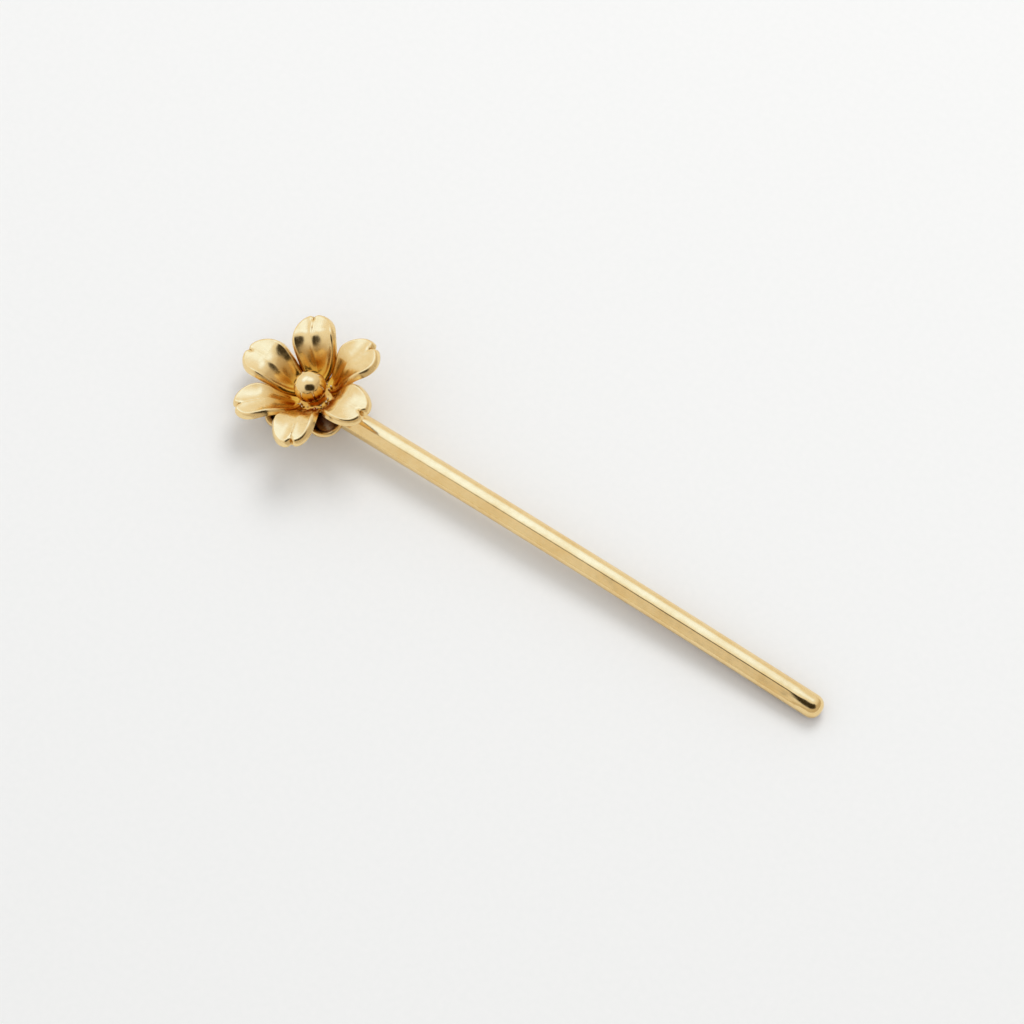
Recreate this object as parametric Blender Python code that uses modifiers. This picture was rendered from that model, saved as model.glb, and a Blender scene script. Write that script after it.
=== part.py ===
"""Hairpin: a bowed round shank that carries a six-petalled flower on its head end.

The hairpin lies as it does on a table: the flat foot of the saddle under the flower and
the rounded tip of the shank both touch z = 0. +X runs from the flower to the tip, and +Z
is up. The origin is the centre of the foot. Lengths are in metres, angles in degrees.
"""

import math

import bmesh
import bpy
from mathutils import Matrix, Vector

# Clearance between pieces that are soldered to each other
SEAT_GAP = 0.0003
# How far a cutter runs past what it cuts
OVERRUN = 0.0005

# Shank
SHANK_HEAD_DIAMETER = 0.0041
SHANK_TIP_DIAMETER = 0.004
SHANK_LENGTH = 0.0948
SHANK_BOW = 0.0009
SHANK_HEAD_HEIGHT = 0.0044
SHANK_SIDES = 24
SHANK_RINGS = 20
SHANK_TIP_RINGS = 7

# Saddle
SADDLE_LENGTH = 0.006
SADDLE_WIDTH = 0.0056
SADDLE_CORNER_RADIUS = 0.0014
SADDLE_FOOT_EDGE = 0.0002
GROOVE_END_WALL = 0.0006

# Flower as a whole
FLOWER_LEAN = 19.5
FLOWER_SETBACK = 0.0013
SEAT_DROP = 0.0008

# Post
POST_DIAMETER = 0.0012
POST_DEPTH_IN_SADDLE = 0.0017
POST_DEPTH_IN_BALL = 0.0016

# Calyx
CALYX_THICKNESS = 0.0005
CALYX_WEB_RADIUS = 0.0036
CALYX_LOBE_REACH = 0.009
# Lobes differ in length, as bent by hand, counter-clockwise from the one beside the shank
CALYX_LOBE_SHARES = (0.99, 0.73, 0.91, 1.01)
CALYX_LOBE_RISE = 0.0005
CALYX_LOBE_CUP = 0.0007
CALYX_RIM_RISE = 0.0003
CALYX_RIM_START_SHARE = 0.6
CALYX_TURN = -36.0
CALYX_LOBE_BLUNTNESS = 0.95
CALYX_STEPS_PER_LOBE = 8
CALYX_ROW_SHARES = (0.0, 0.3, 0.6, 0.85, 1.0)

# Petals
PETAL_THICKNESS = 0.0008
PETAL_ROOT_RADIUS = 0.0017
PETAL_TIP_RADIUS = 0.013
PETAL_LENGTH_SHARES = (0.995, 0.99, 1.0, 1.045, 1.0, 0.985)
PETAL_WIDTH = 0.008
# Shares of the width before and after each petal's middle line, counter-clockwise
PETAL_WIDTH_SHARES = ((1.02, 0.98), (1.25, 1.0), (1.04, 0.95),
                      (1.02, 1.0), (0.95, 0.96), (0.95, 1.0))
PETAL_SECTOR_SHARPNESS = 8
# From a flat root each petal climbs steeply, then flares out, each as it was bent by hand.
# The wall's foot and full slope stand at shares of the bowl floor's radius, and the flare's
# start and end at shares of the tip radius
PETAL_WALL_SHARES = ((0.9, 1.4), (1.1, 1.7), (1.85, 2.45),
                     (1.85, 2.45), (1.1, 1.7), (0.9, 1.4))
PETAL_FLARE_SHARES = ((0.33, 0.46), (0.47, 0.65), (0.58, 0.73),
                      (0.58, 0.73), (0.47, 0.65), (0.33, 0.46))
PETAL_WALL_SLOPE_SHARES = (1.25, 1.0, 1.6, 1.6, 1.0, 1.25)
PETAL_FLARE_SLOPE_SHARES = (0.3, 0.25, 0.05, 0.05, 0.25, 0.3)
PETAL_CUP_DEPTH = 0.0013
PETAL_CREASE_HEIGHT = 0.0003
PETAL_NOTCH_DEPTH = 0.0006
PETAL_RIM_ROLL = 0.0009
PETAL_CORNER_SHARE = 0.9
PETAL_ROLL_START_SHARE = 0.7
PETAL_TURNS = (-5.8, 54.8, 118.6, 177.0, 228.4, 292.2)
PETAL_PITCHES = (-4.0, 0.0, 3.0, 2.0, 0.0, -1.5)
# Rows run from the root, at minus one, to the tip, and columns from the crease to the edge
PETAL_ROW_SHARES = (-1.0, -0.66, -0.4, -0.12, 0.16, 0.55, 0.84, 1.0)
PETAL_COLUMN_SHARES = (0.0, 0.12, 0.34, 0.62, 0.84, 1.0)

# Ball and the beaded wire round its foot
BALL_DIAMETER = 0.0054
BALL_SEGMENTS = 32
BALL_RINGS = 16
BEAD_DIAMETER = 0.0005
BEAD_WIRE_DIAMETER = 0.00035
BEAD_RING_RADIUS = 0.00285
BEAD_COUNT = 20
STEPS_PER_BEAD = 4
BEAD_SIDES = 6

# Worked out from the sizes above
BALL_RADIUS = BALL_DIAMETER / 2
POST_RADIUS = POST_DIAMETER / 2
POST_HOLE_RADIUS = POST_RADIUS + SEAT_GAP
CALYX_LEVEL = SEAT_GAP + CALYX_THICKNESS / 2
PETAL_LEVEL = CALYX_LEVEL + CALYX_THICKNESS / 2 + SEAT_GAP + PETAL_THICKNESS / 2
# The bead ring lies round the floor of the bowl that the petals form
BOWL_FLOOR_RADIUS = BEAD_RING_RADIUS - BEAD_DIAMETER / 2
# The ball rests in the ring that the petals' roots form
BALL_LEVEL = (PETAL_LEVEL + PETAL_THICKNESS / 2
              + math.sqrt((BALL_RADIUS + SEAT_GAP) ** 2 - PETAL_ROOT_RADIUS ** 2))
LEAN = math.radians(FLOWER_LEAN)
FLOWER_NORMAL = Vector((-math.sin(LEAN), 0.0, math.cos(LEAN)))
SEAT_CENTRE = Vector((-FLOWER_SETBACK, 0.0, SHANK_HEAD_HEIGHT)) - SEAT_DROP * FLOWER_NORMAL

# The post's hole reaches furthest forward where it meets the shank's underside
POST_FRONT = (SEAT_CENTRE.x + POST_HOLE_RADIUS / math.cos(LEAN)
              + (SEAT_CENTRE.z - SHANK_HEAD_HEIGHT + SHANK_HEAD_DIAMETER / 2) * math.tan(LEAN))
GROOVE_START = POST_FRONT + GROOVE_END_WALL

GOLD = (0.83, 0.58, 0.24, 1.0)


def clear_scene():
    """Remove every object that the file holds."""
    for scene_object in list(bpy.data.objects):
        bpy.data.objects.remove(scene_object, do_unlink=True)


def new_collection(name):
    """Make a collection and link it to the scene."""
    collection = bpy.data.collections.new(name)
    bpy.context.scene.collection.children.link(collection)
    return collection


def gold_material(name, roughness):
    """Gold-coloured plated brass with the given roughness."""
    material = bpy.data.materials.new(name)
    material.use_nodes = True
    shader = material.node_tree.nodes["Principled BSDF"]
    shader.inputs["Base Color"].default_value = GOLD
    shader.inputs["Metallic"].default_value = 1.0
    shader.inputs["Roughness"].default_value = roughness
    return material


def link_mesh(name, mesh, collection, parent=None):
    """Make an object of a mesh in a collection, carried by a parent."""
    mesh_object = bpy.data.objects.new(name, mesh)
    mesh_object.parent = parent
    collection.objects.link(mesh_object)
    return mesh_object


def mesh_from_bmesh(name, working):
    """Turn a working mesh into mesh data with outward faces."""
    bmesh.ops.recalc_face_normals(working, faces=working.faces)
    mesh = bpy.data.meshes.new(name)
    working.to_mesh(mesh)
    working.free()
    return mesh


def finish(part, material, smooth_angle=None):
    """Give a part its material and smooth its round faces."""
    part.data.materials.append(material)
    if smooth_angle is not None:
        part.data.shade_smooth()
        part.data.set_sharp_from_angle(angle=math.radians(smooth_angle))
    return part


def cut(part, cutter):
    """Cut one piece out of another."""
    modifier = part.modifiers.new(cutter.name, "BOOLEAN")
    modifier.operation = "DIFFERENCE"
    modifier.solver = "EXACT"
    modifier.object = cutter


def make_cutter(name, mesh, parent=None):
    """Make a cutter, which the finished part leaves out."""
    cutter = link_mesh(name, mesh, cutters, parent)
    cutter.hide_render = True
    cutter.display_type = "WIRE"
    return cutter


def subdivide(part):
    """Round a sheet's rim and smooth its form."""
    modifier = part.modifiers.new("rounding", "SUBSURF")
    modifier.levels = 1
    modifier.render_levels = 1


def thicken(part, thickness):
    """Give an open sheet its thickness, half on each side."""
    modifier = part.modifiers.new("thickness", "SOLIDIFY")
    modifier.thickness = thickness
    modifier.offset = 0.0
    modifier.use_even_offset = True


def cylinder_mesh(name, radius, low, high, segments=SHANK_SIDES):
    """A cylinder round the local Z axis between two levels."""
    working = bmesh.new()
    bmesh.ops.create_cone(working, cap_ends=True, segments=segments, radius1=radius,
                          radius2=radius, depth=high - low,
                          matrix=Matrix.Translation((0.0, 0.0, (low + high) / 2)))
    return mesh_from_bmesh(name, working)


def box_mesh(name, low, high):
    """A box between two corners."""
    size = Vector(high) - Vector(low)
    centre = (Vector(high) + Vector(low)) / 2
    working = bmesh.new()
    bmesh.ops.create_cube(working, size=1.0,
                          matrix=Matrix.Translation(centre) @ Matrix.Diagonal((*size, 1.0)))
    return mesh_from_bmesh(name, working)


def tube_mesh(name, points, radii, sides, cyclic=False):
    """A round tube along points, with its own radius at each point and welded caps."""
    curve = bpy.data.curves.new(name, "CURVE")
    curve.dimensions = "3D"
    curve.bevel_depth = max(radii)
    curve.bevel_resolution = sides // 2 - 2
    curve.use_fill_caps = not cyclic
    spline = curve.splines.new("POLY")
    spline.points.add(len(points) - 1)
    spline.use_cyclic_u = cyclic
    for spline_point, place, radius in zip(spline.points, points, radii):
        spline_point.co = (*place, 1.0)
        spline_point.radius = radius / max(radii)
    guide = bpy.data.objects.new(name, curve)
    cutters.objects.link(guide)
    bpy.context.view_layer.update()
    graph = bpy.context.evaluated_depsgraph_get()
    mesh = bpy.data.meshes.new_from_object(guide.evaluated_get(graph))
    bpy.data.objects.remove(guide, do_unlink=True)
    working = bmesh.new()
    working.from_mesh(mesh)
    bpy.data.meshes.remove(mesh)
    bmesh.ops.remove_doubles(working, verts=working.verts, dist=min(radii) / len(radii))
    return mesh_from_bmesh(name, working)


def shank_axis(x):
    """A point on the shank's bowed centre line at a distance from the origin."""
    share = (x + FLOWER_SETBACK) / (SHANK_LENGTH + FLOWER_SETBACK)
    straight = SHANK_HEAD_HEIGHT + (SHANK_TIP_DIAMETER / 2 - SHANK_HEAD_HEIGHT) * share
    return Vector((x, 0.0, straight + 4 * SHANK_BOW * share * (1 - share)))


def shank_radius(x):
    """The shank's radius, which falls evenly towards the tip."""
    share = x / SHANK_LENGTH
    return (SHANK_HEAD_DIAMETER + (SHANK_TIP_DIAMETER - SHANK_HEAD_DIAMETER) * share) / 2


def shank_mesh(name, start, growth=0.0):
    """The round shank from a start to its domed tip, grown on every side."""
    points = []
    radii = []
    for ring in range(SHANK_RINGS):
        x = start + (SHANK_LENGTH - start) * ring / SHANK_RINGS
        points.append(shank_axis(x))
        radii.append(shank_radius(x) + growth)
    tip_radius = SHANK_TIP_DIAMETER / 2 + growth
    end = shank_axis(SHANK_LENGTH)
    along = (end - points[-1]).normalized()
    for ring in range(SHANK_TIP_RINGS + 1):
        angle = math.pi / 2 * min(ring / SHANK_TIP_RINGS, 1 - 1 / SHANK_SIDES ** 2)
        points.append(end + tip_radius * math.sin(angle) * along)
        radii.append(tip_radius * math.cos(angle))
    return tube_mesh(name, points, radii, SHANK_SIDES)


def make_shank():
    """The shank, whose head end is cut off along the flower's seat."""
    shank = link_mesh("shank", shank_mesh("shank", GROOVE_START + SEAT_GAP), parts)
    cut(shank, seat_cutter)
    return finish(shank, satin_gold, 40)


def make_saddle():
    """The block under the flower, with a groove for the shank and a hole for the post."""
    top = SHANK_HEAD_HEIGHT + SHANK_HEAD_DIAMETER
    working = bmesh.new()
    bmesh.ops.create_cube(working, size=1.0,
                          matrix=Matrix.Translation((0.0, 0.0, top / 2))
                          @ Matrix.Diagonal((SADDLE_LENGTH, SADDLE_WIDTH, top, 1.0)))
    upright = [edge for edge in working.edges
               if abs(edge.verts[0].co.z - edge.verts[1].co.z) > top / 2]
    bmesh.ops.bevel(working, geom=upright, offset=SADDLE_CORNER_RADIUS, segments=5,
                    profile=0.5, affect="EDGES")
    foot = [edge for edge in working.edges
            if all(vertex.co.z < top / 2 for vertex in edge.verts)]
    bmesh.ops.bevel(working, geom=foot, offset=SADDLE_FOOT_EDGE, segments=2,
                    profile=0.5, affect="EDGES")
    saddle = link_mesh("saddle", mesh_from_bmesh("saddle", working), parts)
    groove = make_cutter("groove_cutter", shank_mesh("groove_cutter", GROOVE_START, SEAT_GAP))
    cut(saddle, seat_cutter)
    cut(saddle, groove)
    cut(saddle, post_hole_cutter("saddle_hole_cutter", -POST_DEPTH_IN_SADDLE - SEAT_GAP, top))
    return finish(saddle, satin_gold, 40)


def post_hole_cutter(name, low, high):
    """A round cutter along the flower's axis."""
    return make_cutter(name, cylinder_mesh(name, POST_HOLE_RADIUS, low, high), flower)


def make_post():
    """The post that runs from the saddle through calyx and petals into the ball."""
    top = BALL_LEVEL - BALL_RADIUS + POST_DEPTH_IN_BALL
    mesh = cylinder_mesh("post", POST_RADIUS, -POST_DEPTH_IN_SADDLE, top)
    return finish(link_mesh("post", mesh, parts, flower), satin_gold, 40)


def calyx_point(share, angle):
    """A point on the calyx's middle surface, from its hole to its edge."""
    half_lobe = math.pi / len(CALYX_LOBE_SHARES)
    lobe, within_lobe = divmod(angle + half_lobe, 2 * half_lobe)
    off_middle = within_lobe - half_lobe
    reach = CALYX_LOBE_REACH * CALYX_LOBE_SHARES[int(lobe) % len(CALYX_LOBE_SHARES)]
    blunt = math.cos(math.pi / 2 * off_middle / half_lobe) ** CALYX_LOBE_BLUNTNESS
    edge = CALYX_WEB_RADIUS + (reach - CALYX_WEB_RADIUS) * blunt
    radius = POST_HOLE_RADIUS + (edge - POST_HOLE_RADIUS) * share
    out = max(radius - CALYX_WEB_RADIUS / 2, 0.0) / (CALYX_LOBE_REACH - CALYX_WEB_RADIUS / 2)
    level = CALYX_LEVEL + CALYX_LOBE_RISE * out ** 2
    level += CALYX_LOBE_CUP * out * (off_middle / half_lobe) ** 2
    level += CALYX_RIM_RISE * past(share, CALYX_RIM_START_SHARE) * blunt
    return Vector((radius * math.cos(angle), radius * math.sin(angle), level))


def make_calyx():
    """The four-lobed cup of sheet under the petals."""
    steps = len(CALYX_LOBE_SHARES) * CALYX_STEPS_PER_LOBE
    working = bmesh.new()
    rows = [[working.verts.new(calyx_point(share, 2 * math.pi * (step + 0.5) / steps))
             for step in range(steps)] for share in CALYX_ROW_SHARES]
    for inner, outer in zip(rows, rows[1:]):
        for step in range(steps):
            following = (step + 1) % steps
            working.faces.new((inner[step], outer[step], outer[following], inner[following]))
    calyx = link_mesh("calyx", mesh_from_bmesh("calyx", working), parts, flower)
    calyx.rotation_euler.z = math.radians(CALYX_TURN)
    thicken(calyx, CALYX_THICKNESS)
    subdivide(calyx)
    return finish(calyx, bright_gold, 60)


def past(share, start):
    """How far a share has come from a start to one, as a share."""
    return max(share - start, 0.0) / (1 - start)


def half_sectors(number):
    """The angles from a petal's middle to the middles of the gaps on its two sides."""
    turn = PETAL_TURNS[number]
    before = (turn - PETAL_TURNS[number - 1]) % 360
    after = (PETAL_TURNS[(number + 1) % len(PETAL_TURNS)] - turn) % 360
    return math.radians(before / 2), math.radians(after / 2)


def petal_half_width(radius, number, side):
    """Half of a petal's width on one side, which its neighbour limits near the root."""
    limit = radius * math.tan(half_sectors(number)[side > 0]) - SEAT_GAP / 2
    own = PETAL_WIDTH / 2 * PETAL_WIDTH_SHARES[number][side > 0]
    sharpness = PETAL_SECTOR_SHARPNESS
    return (limit ** -sharpness + own ** -sharpness) ** (-1 / sharpness)


def climb(radius, start, full):
    """What a slope has gained at a radius when it sets in softly between two others."""
    share = min(max(radius - start, 0.0) / (full - start), 1.0)
    return (full - start) * (share ** 3 - share ** 4 / 2) + max(radius - full, 0.0)


def petal_level(radius, number):
    """The height of a petal's middle surface: a flat root, a steep wall, a flare."""
    foot, full = (BOWL_FLOOR_RADIUS * share for share in PETAL_WALL_SHARES[number])
    bend, flared = (PETAL_TIP_RADIUS * share for share in PETAL_FLARE_SHARES[number])
    steep = PETAL_WALL_SLOPE_SHARES[number]
    gentle = PETAL_FLARE_SLOPE_SHARES[number]
    return (PETAL_LEVEL + steep * climb(radius, foot, full)
            - (steep - gentle) * climb(radius, bend, flared))


def petal_point(number, along, side):
    """A point on a petal's middle surface, from signed shares of its length and width."""
    across = abs(side)
    middle = past(1 - across, 1 - PETAL_COLUMN_SHARES[2])
    tipward = past(along, 0.0)
    length_share = (along * math.sqrt(1 - PETAL_CORNER_SHARE * across ** 2 / 2) + 1) / 2
    width_share = side * math.sqrt(1 - PETAL_CORNER_SHARE * along ** 2 / 2)
    tip = PETAL_TIP_RADIUS * PETAL_LENGTH_SHARES[number]
    radius = PETAL_ROOT_RADIUS + (tip - PETAL_ROOT_RADIUS) * length_share
    radius -= PETAL_NOTCH_DEPTH * middle ** 2 * tipward ** 4
    roll = max(past(across, PETAL_ROLL_START_SHARE) ** 2 * length_share,
               past(along, PETAL_ROLL_START_SHARE) ** 2)
    cup = PETAL_CUP_DEPTH * across ** 2 * math.sin(math.pi * length_share)
    crease = PETAL_CREASE_HEIGHT * middle * math.sin(math.pi * length_share)
    level = petal_level(radius, number) + cup + crease - PETAL_RIM_ROLL * roll
    return Vector((radius, petal_half_width(radius, number, side) * width_share, level))


def petal_mesh(number):
    """One petal as an open sheet on its middle surface."""
    sides = [-share for share in reversed(PETAL_COLUMN_SHARES[1:])]
    sides += PETAL_COLUMN_SHARES
    working = bmesh.new()
    rows = [[working.verts.new(petal_point(number, along, side)) for side in sides]
            for along in PETAL_ROW_SHARES]
    for near, far in zip(rows, rows[1:]):
        for column in range(len(sides) - 1):
            working.faces.new((near[column], far[column], far[column + 1], near[column + 1]))
    return mesh_from_bmesh("petal", working)


def make_petals():
    """The petals round the post, each at its own turn and pitch."""
    for number, (turn, pitch) in enumerate(zip(PETAL_TURNS, PETAL_PITCHES)):
        petal = link_mesh(f"petal_{number + 1}", petal_mesh(number), parts, flower)
        petal.rotation_euler = (0.0, -math.radians(pitch), math.radians(turn))
        thicken(petal, PETAL_THICKNESS)
        subdivide(petal)
        finish(petal, bright_gold, 60)


def make_ball():
    """The ball in the middle of the flower, drilled from below for the post."""
    working = bmesh.new()
    bmesh.ops.create_uvsphere(working, u_segments=BALL_SEGMENTS, v_segments=BALL_RINGS,
                              radius=BALL_RADIUS,
                              matrix=Matrix.Translation((0.0, 0.0, BALL_LEVEL)))
    ball = link_mesh("ball", mesh_from_bmesh("ball", working), parts, flower)
    bottom = BALL_LEVEL - BALL_RADIUS
    cut(ball, post_hole_cutter("ball_hole_cutter", bottom - OVERRUN,
                               bottom + POST_DEPTH_IN_BALL + SEAT_GAP))
    return finish(ball, bright_gold, 40)


def make_bead_ring():
    """The ring of beaded wire that hides the joint between ball and petals."""
    steps = BEAD_COUNT * STEPS_PER_BEAD
    bead_radius = BEAD_DIAMETER / 2
    neck_radius = BEAD_WIRE_DIAMETER / 2
    level = BALL_LEVEL - math.sqrt((BALL_RADIUS + SEAT_GAP + bead_radius) ** 2
                                   - BEAD_RING_RADIUS ** 2)
    points = []
    radii = []
    for step in range(steps):
        angle = 2 * math.pi * step / steps
        points.append(Vector((BEAD_RING_RADIUS * math.cos(angle),
                              BEAD_RING_RADIUS * math.sin(angle), level)))
        swell = abs(math.cos(math.pi * step / STEPS_PER_BEAD))
        radii.append(neck_radius + (bead_radius - neck_radius) * math.sqrt(swell))
    mesh = tube_mesh("bead_ring", points, radii, BEAD_SIDES, cyclic=True)
    return finish(link_mesh("bead_ring", mesh, parts, flower), bright_gold, 60)


clear_scene()
parts = new_collection("hairpin")
cutters = new_collection("cutters")
satin_gold = gold_material("satin_gold", 0.28)
bright_gold = gold_material("bright_gold", 0.16)

# The flower's frame stands on its seat, and its Z axis is the flower's axis
flower = bpy.data.objects.new("flower_frame", None)
flower.location = SEAT_CENTRE
flower.rotation_euler.y = -LEAN
parts.objects.link(flower)

seat_cutter = make_cutter("seat_cutter", box_mesh(
    "seat_cutter",
    (-PETAL_TIP_RADIUS, -PETAL_TIP_RADIUS, 0.0),
    (PETAL_TIP_RADIUS, PETAL_TIP_RADIUS, PETAL_TIP_RADIUS)), flower)

make_shank()
make_saddle()
make_post()
make_calyx()
make_petals()
make_ball()
make_bead_ring()
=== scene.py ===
"""The looks of the hairpin: fine surfaces over the frame, gold, floor, light and camera."""

import math

import bpy
import numpy as np
from mathutils import Matrix, Vector


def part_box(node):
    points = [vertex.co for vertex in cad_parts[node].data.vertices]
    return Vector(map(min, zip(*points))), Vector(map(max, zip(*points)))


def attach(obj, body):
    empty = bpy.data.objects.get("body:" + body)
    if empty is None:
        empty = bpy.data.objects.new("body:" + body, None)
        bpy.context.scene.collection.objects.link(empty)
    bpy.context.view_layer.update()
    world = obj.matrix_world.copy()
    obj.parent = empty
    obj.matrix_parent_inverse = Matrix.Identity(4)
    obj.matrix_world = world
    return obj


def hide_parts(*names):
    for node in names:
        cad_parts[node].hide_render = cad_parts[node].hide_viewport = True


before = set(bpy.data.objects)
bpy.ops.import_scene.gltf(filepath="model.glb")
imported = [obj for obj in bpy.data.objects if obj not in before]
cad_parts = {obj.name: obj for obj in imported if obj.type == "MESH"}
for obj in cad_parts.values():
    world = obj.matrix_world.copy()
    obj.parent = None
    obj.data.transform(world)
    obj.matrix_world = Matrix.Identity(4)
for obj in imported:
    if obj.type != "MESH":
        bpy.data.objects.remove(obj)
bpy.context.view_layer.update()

TURN = 2 * math.pi
Z_AXIS = Vector((0, 0, 1))

# Sizes in metres, as in the frame. The six petals are listed counter-clockwise seen from
# above, starting with the one over the shank.
GAP = 0.0003
SHANK_HEAD_RADIUS, SHANK_TIP_RADIUS, SHANK_LENGTH = 0.00205, 0.002, 0.0948
SHANK_BOW, SHANK_HEAD_HEIGHT, FLOWER_SETBACK = 0.0009, 0.0044, 0.0013
LEAN = math.radians(19.5)
SEAT_DROP = 0.0008

CALYX_THICKNESS, CALYX_LIP = 0.0005, 0.0003
CALYX_HOLE, CALYX_WEB, CALYX_REACHES = 0.0009, 0.0036, (0.0089, 0.0066, 0.0082, 0.0091)
CALYX_RISE, CALYX_CUP, CALYX_TILT, CALYX_SCOOP = 0.0005, 0.0009, 0.0004, 0.0008
CALYX_TURN = math.radians(-34.5)
CALYX_LOBES = len(CALYX_REACHES)

PETALS = 6
PETAL_THICKNESS, PETAL_ROOT = 0.0008, 0.0017
PETAL_TIPS = (0.01295, 0.01285, 0.0130, 0.0136, 0.013, 0.0128)
PETAL_TURNS = (-5.8, 54.8, 118.6, 177.0, 228.4, 292.2)
PETAL_PITCHES = (-4.0, 0.0, 3.0, 2.0, 0.0, -1.5)
# Half widths before and after the middle line, counter-clockwise, and the room kept to the
# middle of the gap between two petals
PETAL_WIDTHS = ((0.0041, 0.0039), (0.0050, 0.0040), (0.00415, 0.0038),
                (0.0041, 0.0040), (0.0038, 0.00385), (0.0038, 0.0040))
PETAL_ROOM = GAP / 6
TIP_FULLNESS, ROOT_FULLNESS = 2.35, 4.0
# A wall's foot and full slope, a flare's start and end, and the slopes of the two
NEAR_BOWL = (0.0023, 0.0034, 0.0034, 0.0096, 1.25, 0.08)
SIDE_BOWL = (0.0029, 0.0044, 0.0061, 0.0085, 1.0, 0.25)
FAR_BOWL = (0.0034, 0.0066, 0.0066, 0.0100, 1.45, 0.05)
BOWLS = (NEAR_BOWL, SIDE_BOWL, FAR_BOWL, FAR_BOWL, SIDE_BOWL, NEAR_BOWL)
# A petal's edges have their neighbours' height in full up to the second of these radii, and
# no more of it from the first on
SHARED_EDGE_NONE, SHARED_EDGE_FULL = 0.008, 0.005
PETAL_CUPS = (0.0013, 0.0013, 0.0009, 0.0009, 0.0013, 0.0013)
PETAL_ROLL, PETAL_ROLL_WIDTH = 0.0008, 0.00065
PETAL_RIM = PETAL_THICKNESS * 0.45
CHANNEL_DEPTHS = (0.00036, 0.00036, 0.0005, 0.00048, 0.00036, 0.00036)
CHANNEL_PLACE, CHANNEL_WIDTH = 0.5, 0.5
# Each petal's crease: its place across, its strength, and the ridge's and the groove's sizes
CREASE_PLACES = (0.0, 0.0, 0.0, 0.0, 0.0, 0.0005)
CREASE_STRENGTHS = (0.4, 0.4, 1.3, 0.4, 0.6, 1.1)
RIDGE_HEIGHT, RIDGE_WIDTH, RIDGE_ROUNDING = 0.0003, 0.0009, 0.00006
GROOVE_DEPTH, GROOVE_WIDTH = 0.00007, 0.00013
# The notch at each tip, and the pit inside it
NOTCH_DEPTHS = (0.0006, 0.0006, 0.0003, 0.0003, 0.0006, 0.0006)
NOTCH_WIDTH = 0.0004
PIT_DEPTH, PIT_SETBACK, PIT_LENGTH, PIT_WIDTH = 0.00035, 0.0011, 0.00045, 0.0003

BALL_RADIUS = 0.0027
CALYX_LEVEL = GAP + CALYX_THICKNESS / 2
PETAL_LEVEL = 2 * GAP + CALYX_THICKNESS + PETAL_THICKNESS / 2
PETAL_TOP = PETAL_LEVEL + PETAL_THICKNESS / 2
BALL_LEVEL = PETAL_TOP + math.sqrt((BALL_RADIUS + GAP) ** 2 - PETAL_ROOT ** 2)
NORMAL = Vector((-math.sin(LEAN), 0.0, math.cos(LEAN)))
SEAT = Vector((-FLOWER_SETBACK, 0.0, SHANK_HEAD_HEIGHT)) - SEAT_DROP * NORMAL
FLOWER = Matrix.Translation(SEAT) @ Matrix.Rotation(-LEAN, 4, "Y")

# The photograph's viewing line
ELEVATION, AZIMUTH = math.radians(66), math.radians(33.59)
DISTANCE, FOCAL_PIXELS, PICTURE_PIXELS = 0.6, 3652.35, 1024
TARGET = Vector((0.03578, 0.00244, 0.0))
RIGHT = Vector((math.cos(AZIMUTH), math.sin(AZIMUTH), 0.0))
AWAY = Vector((-math.sin(AZIMUTH), math.cos(AZIMUTH), 0.0))
FORWARD = AWAY * math.cos(ELEVATION) - Z_AXIS * math.sin(ELEVATION)
UP = RIGHT.cross(FORWARD)


# Materials
class Nodes:
    """A short way to write a material's or a world's nodes."""

    def __init__(self, owner):
        owner.use_nodes = True
        self.tree = owner.node_tree
        self.tree.nodes.clear()

    def add(self, kind, inputs=None, **settings):
        """A new node, with sockets linked or set, and with its own settings."""
        node = self.tree.nodes.new(kind)
        for key, value in settings.items():
            setattr(node, key, value)
        for key, value in (inputs or {}).items():
            if isinstance(value, bpy.types.NodeSocket):
                self.tree.links.new(value, node.inputs[key])
            else:
                node.inputs[key].default_value = value
        return node

    def ramp(self, factor, stops, interpolation="LINEAR"):
        """A colour ramp with stops of a place and a colour."""
        node = self.add("ShaderNodeValToRGB", {"Fac": factor})
        node.color_ramp.interpolation = interpolation
        elements = node.color_ramp.elements
        while len(elements) < len(stops):
            elements.new(0.5)
        for element, (place, colour) in zip(elements, stops):
            element.position = place
            element.color = (*colour, 1.0)
        return node.outputs["Color"]

    def maths(self, operation, first, second=0.0):
        """The result of a sum on one or two values."""
        node = self.add("ShaderNodeMath", {0: first, 1: second}, operation=operation)
        return node.outputs["Value"]

    def total(self, *parts):
        """The sum of values, each times its weight."""
        result, *others = [self.maths("MULTIPLY", value, weight) for value, weight in parts]
        for other in others:
            result = self.maths("ADD", result, other)
        return result

    def noise(self, place, scale, detail, roughness=0.5):
        """Cloudy noise at a place."""
        return self.add("ShaderNodeTexNoise", {
            "Vector": place, "Scale": scale, "Detail": detail, "Roughness": roughness,
        }).outputs["Fac"]


BLACK, WHITE = (0, 0, 0), (1, 1, 1)


def round_the_flower(n, place):
    """Coordinates that run round the flower's axis and out from it, and the way out."""
    local = n.add("ShaderNodeMapping", {"Vector": place, "Location": SEAT,
                                        "Rotation": (0.0, -LEAN, 0.0)}, vector_type="TEXTURE")
    x, y, z = n.add("ShaderNodeSeparateXYZ", {"Vector": local.outputs["Vector"]}).outputs
    out = n.maths("SQRT", n.maths("ADD", n.maths("POWER", x, 2.0), n.maths("POWER", y, 2.0)))
    turned = n.add("ShaderNodeCombineXYZ", {"X": n.maths("ARCTAN2", y, x), "Y": out, "Z": z})
    return turned.outputs["Vector"], out


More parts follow.
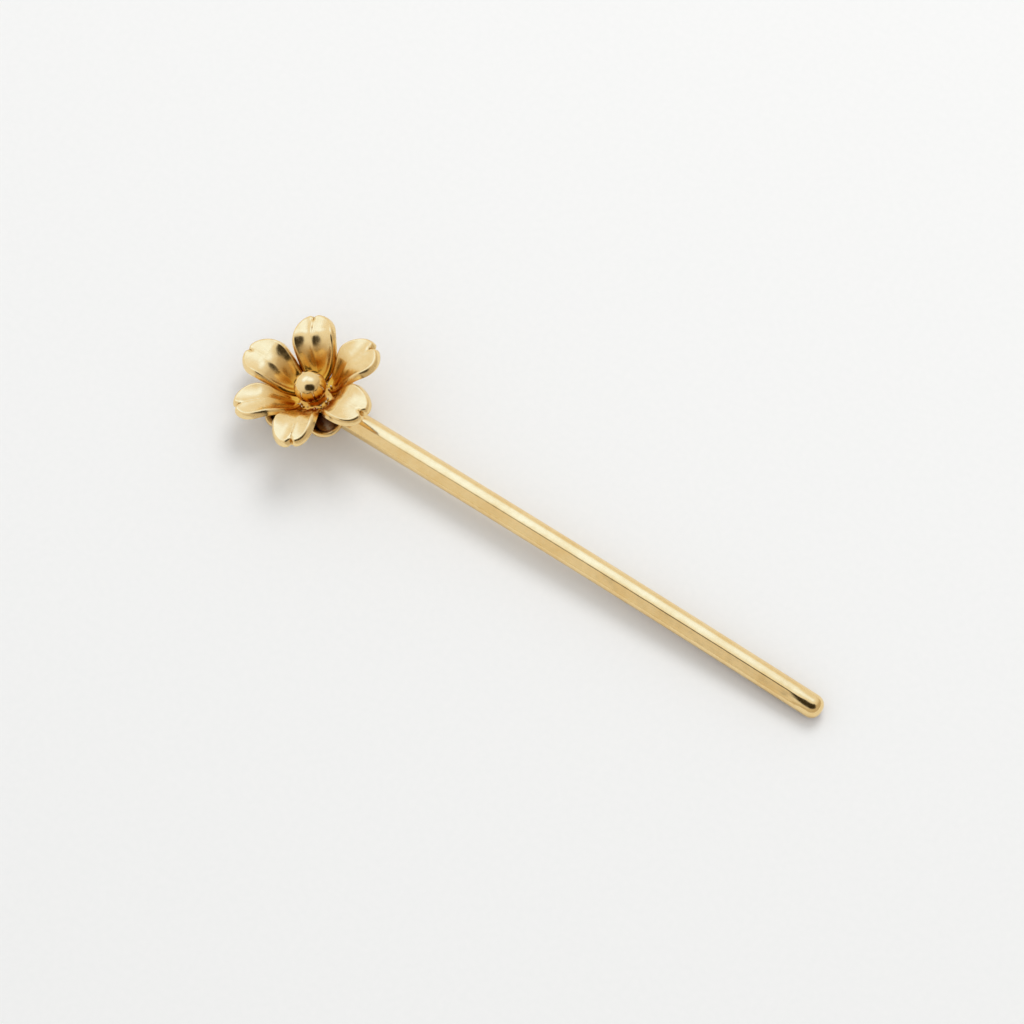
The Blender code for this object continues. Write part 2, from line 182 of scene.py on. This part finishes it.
def gold(name, pale, deep, roughness, streak, pits, painted_shade_colour, shade=(0.12, 0.6), near=0.0035,
         radial=False, edge=(1.0, 0.98, 0.92)):
    """Polished gold plate: uneven colour, fine scratches, faint dents and small pits.

    In corners the colour turns towards the painted shade colour: painted shade, and a painted
    warm reflection of gold on gold, at the open shares that shade gives, of what lies as near
    as given. Radial gold has its strokes run out from the flower's axis, and paints that shade
    colour round that axis too. The edge colour is the metal's at a slanting look.
    """
    material = bpy.data.materials.new(name)
    n = Nodes(material)
    place = n.add("ShaderNodeTexCoord").outputs["Object"]
    # Colour drifts over the surface, in clouds and in specks
    cloud = n.noise(place, 160.0, 4.0, 0.55)
    speck = n.noise(place, 1500.0, 3.0, 0.6)
    plate = n.ramp(n.total((cloud, 0.65), (speck, 0.35)), ((0.36, deep), (0.58, pale)))
    # Painted shade: the colour darkens and warms where other surfaces lie near, standing in for
    # shade and for gold reflecting gold
    around = n.add("ShaderNodeAmbientOcclusion", {"Distance": near}, samples=16)
    unshaded_share = n.ramp(around.outputs["AO"], ((shade[0], BLACK), (shade[1], WHITE)))
    strokes = place
    if radial:
        # Round the floor of the petals' bowl the colour is painted shade and a painted warm
        # reflection
        strokes, out = round_the_flower(n, place)
        clear = n.add("ShaderNodeMapRange", {
            "Value": n.maths("ADD", out, n.maths("MULTIPLY", cloud, 0.002)), "From Min": 0.005,
            "From Max": 0.0092}, interpolation_type="SMOOTHSTEP").outputs["Result"]
        unshaded_share = n.maths("MULTIPLY", unshaded_share, clear)
    colour = n.add("ShaderNodeMix", {"Factor": unshaded_share, "A": (*painted_shade_colour, 1), "B": plate},
                   data_type="RGBA").outputs["Result"]
    # Scratches: noise drawn out along the piece, and a second set that crosses it
    along = n.add("ShaderNodeMapping", {"Vector": strokes, "Scale": streak}).outputs["Vector"]
    lines = n.noise(along, 1.0, 5.0, 0.7)
    crossed = n.add("ShaderNodeMapping", {"Vector": place, "Rotation": (0.3, 0.5, 1.1),
                                          "Scale": (300.0, 5200.0, 5200.0)}).outputs["Vector"]
    hairs = n.noise(crossed, 1.0, 2.0)
    rough = n.add("ShaderNodeMapRange", {"Value": n.maths("ADD", lines, speck), "From Min": 0.7,
                                         "From Max": 1.3, "To Min": roughness * 0.7,
                                         "To Max": roughness * 1.45}).outputs["Result"]
    # Casting pits: small dips in the middle of a pattern's cells
    cells = n.add("ShaderNodeTexVoronoi", {"Vector": place, "Scale": 620.0}, feature="F1")
    pit = n.ramp(cells.outputs["Distance"], ((0.0, BLACK), (pits, WHITE)), "EASE")
    dents = n.noise(place, 420.0, 1.0)
    height = n.total((lines, 0.5), (hairs, 0.3), (cloud, 2.4), (dents, 7.0), (pit, 0.5))
    bump = n.add("ShaderNodeBump", {"Height": height, "Strength": 0.22, "Distance": 0.00004})
    shader = n.add("ShaderNodeBsdfPrincipled", {
        "Base Color": colour, "Metallic": 1.0, "Roughness": rough, "Specular Tint": (*edge, 1.0),
        "Normal": bump.outputs["Normal"]})
    n.add("ShaderNodeOutputMaterial", {"Surface": shader.outputs["BSDF"]})
    return material


# Colours of the plate, and the colours of painted shade in its hollows from shallow to deep
PALE = (0.91, 0.69, 0.345)
DEEP = (0.85, 0.60, 0.26)
AMBER_PAINTED_SHADE = (0.66, 0.33, 0.04)
BROWN_PAINTED_SHADE = (0.30, 0.13, 0.03)
DARK_PAINTED_SHADE = (0.09, 0.028, 0.007)
# How finely strokes repeat along each axis: all ways alike, round the flower, along the
# shank, and across the saddle
FINE = (900.0, 900.0, 900.0)
RADIAL = (28.0, 260.0, 260.0)
LENGTHWISE = (25.0, 3800.0, 3800.0)
ACROSS = (1200.0, 500.0, 1200.0)
# Each gold paints shade into its hollows, in the colour given after the pits
petal_gold = gold("bright_gold_petals", PALE, DEEP, 0.2, RADIAL, 0.05, AMBER_PAINTED_SHADE,
                  (0.25, 0.85), 0.006, True)
calyx_gold = gold("bright_gold_calyx", PALE, DEEP, 0.3, FINE, 0.06, DARK_PAINTED_SHADE, (0.5, 0.92),
                  edge=(0.5, 0.3, 0.15))
ball_gold = gold("bright_gold_ball", PALE, DEEP, 0.13, FINE, 0.03, AMBER_PAINTED_SHADE, (0.3, 0.9))
bead_gold = gold("bright_gold_beads", (0.92, 0.86, 0.7), (0.9, 0.8, 0.6), 0.3, FINE, 0.05,
                 (0.8, 0.66, 0.4))
shank_gold = gold("satin_gold_shank", PALE, DEEP, 0.14, LENGTHWISE, 0.04, BROWN_PAINTED_SHADE, (0.2, 0.7))
back_gold = gold("satin_gold_back", PALE, DEEP, 0.28, ACROSS, 0.08, BROWN_PAINTED_SHADE)


# Mesh helpers
def new_object(name, mesh):
    """An object in the scene that shows a mesh."""
    thing = bpy.data.objects.new(name, mesh)
    bpy.context.scene.collection.objects.link(thing)
    return thing


def make_piece(name, points, faces, material, node, place=None):
    """A smooth mesh piece that rides on the one body and stands for a CAD node."""
    mesh = bpy.data.meshes.new(name)
    mesh.from_pydata([tuple(point) for point in points], [], faces)
    mesh.update()
    mesh.shade_smooth()
    mesh.materials.append(material)
    piece = new_object(name, mesh)
    if place is not None:
        mesh.transform(place)
    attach(piece, "root")
    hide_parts(node)
    return piece


def circle(radius, level, around):
    """A ring of points round the Z axis."""
    return [(radius * math.cos(TURN * k / around), radius * math.sin(TURN * k / around), level)
            for k in range(around)]


def band(low, high, around, turned=False):
    """Quads between two rings of vertices, given the number of each ring's first vertex."""
    quads = []
    for step in range(around):
        after = (step + 1) % around
        quad = (low + step, high + step, high + after, low + after)
        quads.append(quad[:1] + quad[:0:-1] if turned else quad)
    return quads


def fan(tip, ring, around, turned=False):
    """Triangles between one vertex and a ring of vertices."""
    pairs = [(ring + step, ring + (step + 1) % around) for step in range(around)]
    return [(tip, second, first) if turned else (tip, first, second) for first, second in pairs]


def sheet_faces(rows, around):
    """Faces over and under a sheet of rings, whose two skins share the outermost ring."""
    under, outer = rows * around, (rows - 1) * around
    faces = []
    for ring in range(rows - 1):
        faces += band(ring * around, (ring + 1) * around, around)
    for ring in range(rows - 1):
        high = under + (ring + 1) * around if ring < rows - 2 else outer
        faces += band(under + ring * around, high, around, True)
    return faces


def edge_distance(xy, outline):
    """The distance of each point to a closed outline."""
    steps = np.roll(outline, -1, axis=0) - outline
    squares = np.maximum((steps ** 2).sum(1), 1e-16)
    best = np.full(len(xy), np.inf)
    for corner, step, square in zip(outline, steps, squares):
        share = np.clip(((xy - corner) @ step) / square, 0, 1)
        best = np.minimum(best, np.hypot(*(xy - corner - share[:, None] * step).T))
    return best


def rounded_sheet(xy, height, thickness, distance, rim):
    """The upper and the lower skin of a sheet whose edge is rounded, as two point lists."""
    nudge = 0.00001
    z = height(xy)
    zx = (height(xy + (nudge, 0)) - height(xy - (nudge, 0))) / (2 * nudge)
    zy = (height(xy + (0, nudge)) - height(xy - (0, nudge))) / (2 * nudge)
    normal = np.stack([-zx, -zy, np.ones_like(z)], axis=1)
    normal /= np.linalg.norm(normal, axis=1)[:, None]
    into_rim = np.clip((rim - distance) / rim, 0, 1)
    half = thickness / 2 * np.sqrt(1 - into_rim ** 2)
    middle = np.column_stack([xy, z])
    return middle + normal * half[:, None], middle - normal * half[:, None]


def smooth(value, start, end):
    """A soft step from 0 at the start to 1 at the end, which may lie below the start."""
    share = np.clip((value - start) / (end - start), 0, 1)
    return share * share * (3 - 2 * share)


def climb(value, start, end):
    """What a slope gains by a place when it sets in softly between start and end."""
    share = np.clip((value - start) / (end - start), 0, 1)
    return (end - start) * (share ** 3 - share ** 4 / 2) + np.clip(value - end, 0, None)


# Petals
def half_sectors(number):
    """The angles from a petal's middle line to the middles of the gaps on its two sides."""
    turn = PETAL_TURNS[number]
    before = (turn - PETAL_TURNS[number - 1]) % 360
    after = (PETAL_TURNS[(number + 1) % PETALS] - turn) % 360
    return math.radians(before / 2), math.radians(after / 2)


def half_width(x, side, number):
    """A petal's half width at a radius: its own, or less where the next petal is near."""
    half_sector = half_sectors(number)[side]
    limit = np.maximum(x * math.tan(half_sector) - PETAL_ROOM, 1e-5)
    return (limit ** -8.0 + PETAL_WIDTHS[number][side] ** -8.0) ** (-1 / 8)


def width_beside(x, y, number):
    """A petal's half width at a radius, on the side of its middle line where y lies."""
    return np.where(y >= 0, half_width(x, 1, number), half_width(x, 0, number))


def petal_outline(number, count):
    """A superellipse along the petal, narrowed by its neighbours, with a notch at the tip."""
    angle = np.linspace(0, TURN, count, endpoint=False) + 1e-6
    c, s = np.cos(angle), np.sin(angle)
    fullness = np.where(c < 0, ROOT_FULLNESS, TIP_FULLNESS)
    length = (np.sign(c) * np.abs(c) ** (2 / fullness) + 1) / 2
    width = np.sign(s) * np.abs(s) ** (2 / fullness)
    x = PETAL_ROOT + (PETAL_TIPS[number] - PETAL_ROOT) * length
    y = width_beside(x, width, number) * width
    from_crease = np.abs(y - CREASE_PLACES[number])
    outer_part = length > 0.6
    notch = NOTCH_DEPTHS[number] * np.exp(-(from_crease / NOTCH_WIDTH) ** 1.5) * outer_part
    return np.column_stack([x - notch, y])


def bowl_level(x, number):
    """How high a petal's middle line stands over its root at a radius."""
    foot, full, bend, flared, steep, gentle = BOWLS[number]
    return steep * climb(x, foot, full) - (steep - gentle) * climb(x, bend, flared)


def petal_height(number):
    """The function that gives the height of a petal's sheet at points in its plan."""
    tip = PETAL_TIPS[number]
    foot, full, bend, flared = BOWLS[number][:4]

    def height(xy):
        x, y = xy.T
        length = np.clip((x - PETAL_ROOT) / (tip - PETAL_ROOT), 0, 1)
        across = np.clip(np.abs(y) / width_beside(x, y, number), 0, 1.2)
        # Near the root the edges of two petals meet halfway between their bowls
        shared = 0.5 * across ** 2 * smooth(x, SHARED_EDGE_NONE, SHARED_EDGE_FULL)
        beside = np.where(y >= 0, bowl_level(x, (number + 1) % PETALS), bowl_level(x, number - 1))
        level = PETAL_LEVEL + (1 - shared) * bowl_level(x, number) + shared * beside
        cup = PETAL_CUPS[number] * across ** 2 * np.sin(math.pi * length)
        # Two channels run out from the root and end in rounded hollows
        aside = (across - CHANNEL_PLACE) / CHANNEL_WIDTH
        hollow = np.clip(1 - aside ** 2, 0, 1) ** 1.3
        channel = CHANNEL_DEPTHS[number] * hollow * smooth(x, foot, full) * smooth(x, flared, bend)
        # A low ridge leads from them to the notch, with a fine groove on it
        off = y - CREASE_PLACES[number]
        from_middle = np.sqrt(off ** 2 + RIDGE_ROUNDING ** 2)
        ridge = (RIDGE_HEIGHT * CREASE_STRENGTHS[number] * np.exp(-from_middle / RIDGE_WIDTH)
                 * smooth(length, 0.3, 0.6))
        groove = (GROOVE_DEPTH * CREASE_STRENGTHS[number] * np.exp(-(off / GROOVE_WIDTH) ** 2)
                  * smooth(length, 0.45, 0.6))
        pit = PIT_DEPTH * np.exp(-((x - tip + PIT_SETBACK) / PIT_LENGTH) ** 2
                                 - (off / PIT_WIDTH) ** 2)
        return level + cup - channel + ridge - groove - pit
    return height


def petal_roll(number, xy, distance):
    """How far the petal's rim rolls down at each point, least at the root."""
    length = np.clip((xy[:, 0] - PETAL_ROOT) / (PETAL_TIPS[number] - PETAL_ROOT), 0, 1)
    inside = np.clip(1 - distance / PETAL_ROLL_WIDTH, 0, 1)
    return PETAL_ROLL * inside ** 2 * np.clip(length / 0.35, 0, 1) ** 2


def make_petal(number):
    """A petal as a sheet of rings round a middle point, closer together near its edge."""
    around, rows = 192, 34
    outline = petal_outline(number, around)
    centre = np.array([0.0082, 0.0])
    shares = 1 - (1 - np.arange(1, rows + 1) / rows) ** 1.7
    xy = np.vstack([centre + (outline - centre) * share for share in shares])
    height = petal_height(number)
    distance = edge_distance(xy, outline)
    top, bottom = rounded_sheet(xy, height, PETAL_THICKNESS, distance, PETAL_RIM)
    roll = petal_roll(number, xy, distance)
    top[:, 2] -= roll
    bottom[:, 2] -= roll
    well_inside = np.array([1.0])
    centre_top, centre_bottom = rounded_sheet(centre[None, :], height, PETAL_THICKNESS,
                                              well_inside, PETAL_RIM)
    points = np.vstack([top, bottom[:-around], centre_top, centre_bottom])
    faces = sheet_faces(rows, around)
    faces += fan(len(points) - 2, 0, around)
    faces += fan(len(points) - 1, rows * around, around, True)
    place = (FLOWER @ Matrix.Rotation(math.radians(PETAL_TURNS[number]), 4, "Z")
             @ Matrix.Rotation(-math.radians(PETAL_PITCHES[number]), 4, "Y"))
    name = f"petal_{number + 1}"
    return make_piece(f"{name}_polished", points, faces, petal_gold, name, place)


# Calyx
def make_calyx():
    """A four-lobed cup of scoops with thick rounded lips."""
    around, rows = 400, 44
    angle = np.linspace(0, TURN, around, endpoint=False)
    half = math.pi / CALYX_LOBES
    from_lobe = (angle + half) % (2 * half) - half
    lobe = ((angle + half) // (2 * half)).astype(int) % CALYX_LOBES
    blunt = np.maximum(np.cos(CALYX_LOBES / 2 * from_lobe), 0) ** 0.95
    edge = CALYX_WEB + (np.array(CALYX_REACHES)[lobe] - CALYX_WEB) * blunt
    outline = np.column_stack([edge * np.cos(angle), edge * np.sin(angle)])
    rings = [CALYX_HOLE + (edge - CALYX_HOLE) * share
             for share in 1 - (1 - np.linspace(0, 1, rows)) ** 1.6]
    xy = np.vstack([np.column_stack([ring * np.cos(angle), ring * np.sin(angle)])
                    for ring in rings])

    def height(at):
        radius = np.hypot(*at.T)
        turn = np.arctan2(at[:, 1], at[:, 0])
        aside = (turn + half) % (2 * half) - half
        out = np.clip((radius - CALYX_WEB / 2) / (CALYX_REACHES[0] - CALYX_WEB / 2), 0, None)
        level = CALYX_LEVEL + CALYX_RISE * out ** 2 + CALYX_CUP * out * (aside / half) ** 2
        inside = smooth(edge_distance(at, outline), 0.0006, 0.0014)
        scoop = CALYX_SCOOP * inside * np.clip(out * 2 - 0.5, 0, 1)
        return level + CALYX_TILT * out - scoop
    distance = edge_distance(xy, outline)
    thickness = CALYX_THICKNESS + CALYX_LIP * smooth(distance, 0.0014, 0.0005)
    top, bottom = rounded_sheet(xy, height, thickness, distance, 0.00028)
    points = np.vstack([top, bottom[:-around]])
    # The last band lines the hole in the middle
    faces = sheet_faces(rows, around) + band(0, rows * around, around, True)
    place = FLOWER @ Matrix.Rotation(CALYX_TURN, 4, "Z")
    return make_piece("calyx_polished", points, faces, calyx_gold, "calyx", place)


# Ball and beads
def make_ball():
    """The polished ball, turned in one profile with a short neck into the petals' roots."""
    rings, around = 60, 96
    angles = [math.pi * ring / rings * 0.86 for ring in range(rings + 1)]
    profile = [(BALL_RADIUS * math.sin(a), BALL_LEVEL + BALL_RADIUS * math.cos(a))
               for a in angles]
    profile.append((profile[-1][0], profile[-1][1] - 0.0003))
    points = [(0, 0, profile[0][1])]
    for radius, level in profile[1:]:
        points += circle(radius, level, around)
    faces = fan(0, 1, around)
    last = 1 + (len(profile) - 2) * around
    for first in range(1, last, around):
        faces += band(first, first + around, around)
    faces.append(tuple(reversed(range(last, last + around))))
    return make_piece("ball_polished", points, faces, ball_gold, "ball", FLOWER)


def add_granule(points, faces, centre, size):
    """Add a small sphere to lists of points and faces."""
    around, rings = 14, 8
    first = len(points)
    points.append(centre + size * Z_AXIS)
    for row in range(1, rings):
        tilt = math.pi * row / rings
        points += [centre + size * Vector(point)
                   for point in circle(math.sin(tilt), math.cos(tilt), around)]
    points.append(centre - size * Z_AXIS)
    last = len(points) - 1
    faces += fan(first, first + 1, around)
    for row in range(rings - 2):
        low = first + 1 + row * around
        faces += band(low, low + around, around)
    faces += fan(last, last - around, around, True)


def make_bead_ring():
    """A fillet of solder round the ball's foot, set with fine uneven granules."""
    rng = np.random.default_rng(5)
    around, granules, ring_radius = 120, 26, 0.0027
    # Radii, and heights over the petals' roots
    profile = ((0.0016, -0.0001), (0.0016, 0.0004), (0.0019, 0.00028), (0.0023, 0.00012),
               (0.0027, 0.0), (0.0036, -0.00045), (0.0036, -0.0007))
    points = []
    for radius, level in profile:
        for k in range(around):
            a = TURN * k / around
            uneven = radius * (1 + 0.05 * math.sin(3 * a + 1) + 0.04 * math.sin(8 * a))
            points.append(Vector((uneven * math.cos(a), uneven * math.sin(a), PETAL_TOP + level)))
    faces = []
    for row in range(len(profile)):
        faces += band(row * around, (row + 1) % len(profile) * around, around)
    fillet_faces = len(faces)
    for granule in range(granules):
        angle = TURN * (granule + rng.uniform(-0.45, 0.45)) / granules
        size = float(rng.uniform(0.00007, 0.00024))
        out = ring_radius + rng.uniform(-0.0003, 0.0004)
        centre = Vector((out * math.cos(angle), out * math.sin(angle), PETAL_TOP + 0.9 * size))
        add_granule(points, faces, centre, size)
    ring = make_piece("bead_ring_polished", points, faces, ball_gold, "bead_ring",
                      FLOWER)
    ring.data.materials.append(bead_gold)
    for face in ring.data.polygons[fillet_faces:]:
        face.material_index = 1
    return ring


# Shank: its hammered flats, each by its start and end in degrees round the shank below the
# photograph's viewing line, and by how flat it is
FLATS = (((-42.0, -2.0), 0.6), ((-2.0, 44.0), 1.0))
FLAT_BLEND = math.radians(5)
FLATS_FROM = math.atan2(FORWARD.y, -FORWARD.z)
# The flats fade out over a stretch before the tip
FLATS_END, FLATS_FADE = 0.0935, 0.0025
DOME_FULLNESS = 2.3


def shank_axis(x):
    """The middle of the shank at a distance from the flower: a line with a slight bow."""
    share = (x + FLOWER_SETBACK) / (SHANK_LENGTH + FLOWER_SETBACK)
    straight = SHANK_HEAD_HEIGHT + (SHANK_TIP_RADIUS - SHANK_HEAD_HEIGHT) * share
    return Vector((x, 0.0, straight + 4 * SHANK_BOW * share * (1 - share)))


def flat_profile(around):
    """The shank's radius round its axis: a circle with soft-edged flats along it.

    The list runs from the top round towards the front.
    """
    fine = 3600
    angle = np.linspace(-math.pi, math.pi, fine, endpoint=False)
    tilt = np.zeros(fine)
    for edges, flatness in FLATS:
        start, end = np.radians(edges)
        middle = (start + end) / 2
        tilt += np.where(np.abs(angle - middle) < (end - start) / 2, flatness * (middle - angle), 0)
    kernel = np.hanning(int(FLAT_BLEND / TURN * fine) | 1)
    tilt = np.convolve(tilt, kernel / kernel.sum(), mode="same")
    radius = np.exp(-np.cumsum(np.tan(tilt)) * TURN / fine)
    place = (np.arange(around) * TURN / around - FLATS_FROM + math.pi) % TURN
    return np.interp(place - math.pi, angle, radius).tolist()


def make_shank():
    """The round shank with its domed tip, whose head end is cut along the flower's seat."""
    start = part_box("shank")[0][0]
    rings, dome, around = 170, 26, 180
    flats = flat_profile(around)
    # The middle of each ring, its radius, and how much it shows the flats
    path = []
    for ring in range(rings):
        x = start + (SHANK_LENGTH - start) * ring / rings
        taper = (SHANK_TIP_RADIUS - SHANK_HEAD_RADIUS) * max(x, 0) / SHANK_LENGTH
        path.append((shank_axis(x), SHANK_HEAD_RADIUS + taper,
                     min(max((FLATS_END - x) / FLATS_FADE, 0.0), 1.0)))
    end = shank_axis(SHANK_LENGTH)
    along = (end - path[-1][0]).normalized()
    for ring in range(dome + 1):
        # The last ring stays just open, so that the tip's cap has a size
        a = math.pi / 2 * min(ring / dome, 0.998)
        path.append((end + SHANK_TIP_RADIUS * math.sin(a) ** (2 / DOME_FULLNESS) * along,
                     SHANK_TIP_RADIUS * math.cos(a) ** (2 / DOME_FULLNESS), 0.0))
    side = Vector((0, -1, 0))
    points = []
    for i, (centre, ring_radius, strength) in enumerate(path):
        ahead = path[min(i + 1, len(path) - 1)][0] - path[max(i - 1, 0)][0]
        top = side.cross(ahead.normalized()).normalized()
        for k in range(around):
            a = TURN * k / around
            radius = ring_radius * (1 + strength * (flats[k] - 1))
            point = centre + radius * (math.cos(a) * top + math.sin(a) * side)
            above = (point - SEAT).dot(NORMAL)
            # Points above the seat are drawn down onto it, which makes the slanted cut
            if above > 0:
                point -= Vector((0, 0, above / NORMAL.z))
            points.append(point)
    faces = []
    last = (len(path) - 1) * around
    for first in range(0, last, around):
        faces += band(first, first + around, around, True)
    faces.append(tuple(reversed(range(around))))
    faces.append(tuple(range(last, last + around)))
    return make_piece("shank_brushed", points, faces, shank_gold, "shank")


for number in range(PETALS):
    make_petal(number)
make_calyx()
make_ball()
make_bead_ring()
make_shank()
for node in ("saddle", "post"):
    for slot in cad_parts[node].material_slots:
        slot.material = back_gold


# Stage, light, camera
def rectangle(name, width, height):
    """A flat rectangle round the origin, as a mesh."""
    mesh = bpy.data.meshes.new(name)
    x, y = width / 2, height / 2
    mesh.from_pydata([(-x, -y, 0), (x, -y, 0), (x, y, 0), (-x, y, 0)], [], [(0, 1, 2, 3)])
    return mesh


def placed(x_axis, y_axis, z_axis, origin):
    """The matrix that puts an object at an origin, turned to three axes."""
    return Matrix((*zip(x_axis, y_axis, z_axis, origin), (0, 0, 0, 1)))


def glow(name, colour, strength, width, height, core):
    """A light card's material, whose edge fades out from a core share of its size."""
    material = bpy.data.materials.new(name)
    n = Nodes(material)
    place = n.add("ShaderNodeTexCoord").outputs["Object"]
    scaled = n.add("ShaderNodeMapping", {"Vector": place, "Scale": (2 / width, 2 / height, 1.0)})
    axes = n.add("ShaderNodeSeparateXYZ", {"Vector": scaled.outputs["Vector"]}).outputs
    powers = [n.maths("POWER", n.maths("ABSOLUTE", axes[key]), 3.0) for key in ("X", "Y")]
    radius = n.maths("POWER", n.maths("ADD", *powers), 1 / 3)
    shown = n.ramp(radius, ((core, WHITE), (1.0, BLACK)), "EASE")
    light = n.add("ShaderNodeEmission", {"Color": (*colour, 1.0), "Strength": strength})
    clear = n.add("ShaderNodeBsdfTransparent")
    mix = n.add("ShaderNodeMixShader", {"Fac": shown, 1: clear.outputs["BSDF"],
                                        2: light.outputs["Emission"]})
    n.add("ShaderNodeOutputMaterial", {"Surface": mix.outputs["Shader"]})
    return material


def card(name, toward, distance, size, colour, strength, core, up=Z_AXIS):
    """A flat card seen only in reflections, facing the object from a direction."""
    toward = Vector(toward).normalized()
    side = up.cross(toward).normalized()
    mesh = rectangle(name, *size)
    mesh.materials.append(glow(name, colour, strength, *size, core))
    sheet = new_object(name, mesh)
    centre = Vector((0.03, 0.0, 0.005)) + toward * distance
    sheet.matrix_world = placed(side, toward.cross(side), toward, centre)
    sheet.visible_camera = False
    sheet.visible_diffuse = False
    sheet.visible_shadow = False


def make_floor():
    """A plain pale floor with a faint grain, just below the hairpin."""
    mesh = rectangle("floor", 3.2, 3.2)
    floor = new_object("floor", mesh)
    floor.location.z = -0.00003
    material = bpy.data.materials.new("pale_floor")
    n = Nodes(material)
    grain = n.noise(n.add("ShaderNodeTexCoord").outputs["Object"], 900.0, 4.0)
    colour = n.ramp(grain, ((0.3, (0.875, 0.878, 0.874)), (0.7, (0.89, 0.89, 0.886))))
    shader = n.add("ShaderNodeBsdfPrincipled", {"Base Color": colour, "Roughness": 0.85,
                                                "Specular IOR Level": 0.2})
    n.add("ShaderNodeOutputMaterial", {"Surface": shader.outputs["BSDF"]})
    mesh.materials.append(material)


def make_world():
    """A pale tent for eye and metal, over a plain fill.

    The tent is brightest high over the flower's end, and warmer and dimmer on the far side.
    """
    world = bpy.data.worlds.new("tent")
    bpy.context.scene.world = world
    n = Nodes(world)
    direction = n.add("ShaderNodeTexCoord").outputs["Generated"]
    bright = n.add("ShaderNodeVectorMath", {0: direction, 1: (-0.72, 0.2, 0.66)},
                   operation="DOT_PRODUCT").outputs["Value"]
    tent = n.ramp(bright, ((0.0, (0.6, 0.53, 0.44)), (0.2, (0.82, 0.79, 0.76)),
                           (0.5, (0.87, 0.87, 0.87)), (0.85, (0.92, 0.93, 0.95))), "EASE")
    path = n.add("ShaderNodeLightPath")
    seen = n.maths("MAXIMUM", path.outputs["Is Camera Ray"], path.outputs["Is Glossy Ray"])
    shown = n.add("ShaderNodeBackground", {"Color": tent, "Strength": 1.0})
    fill = n.add("ShaderNodeBackground", {"Color": (1.0, 1.0, 0.99, 1), "Strength": 0.77})
    mix = n.add("ShaderNodeMixShader", {"Fac": seen, 1: fill.outputs["Background"],
                                        2: shown.outputs["Background"]})
    n.add("ShaderNodeOutputWorld", {"Surface": mix.outputs["Shader"]})


def make_key():
    """The soft main light, from behind and a little from the right."""
    lamp = bpy.data.lights.new("key", "AREA")
    lamp.shape = "DISK"
    lamp.size = 0.5
    lamp.energy = 2.6
    key = new_object("key", lamp)
    toward = (AWAY * 0.5 + RIGHT * 0.2 + Z_AXIS * 0.84).normalized()
    key.location = Vector((0.03, 0, 0)) + toward * 0.9
    key.rotation_euler = (-toward).to_track_quat("-Z", "Y").to_euler()
    key.visible_glossy = False


def make_camera():
    """The camera on the photograph's viewing line."""
    data = bpy.data.cameras.new("camera")
    data.sensor_width = 36.0
    data.lens = FOCAL_PIXELS * data.sensor_width / PICTURE_PIXELS
    data.clip_start = 0.01
    camera = new_object("camera", data)
    camera.matrix_world = placed(RIGHT, UP, -FORWARD, TARGET - FORWARD * DISTANCE)
    bpy.context.scene.camera = camera


make_floor()
make_world()
make_key()
make_camera()
card("camera_card", -FORWARD * 0.5 - UP * 0.075, 0.54, (0.96, 0.6), (0.035, 0.027, 0.015),
     1.0, 0.6, up=UP)
card("left_card", (-0.7, 0.18, 0.69), 0.9, (0.95, 0.75), (0.545, 0.684, 1.0), 2.0, 0.25)
card("back_card", (-0.2, 0.42, 0.88), 0.9, (1.2, 0.8), (0.545, 0.684, 1.0), 2.0, 0.08)
bpy.context.scene.view_settings.view_transform = "Standard"
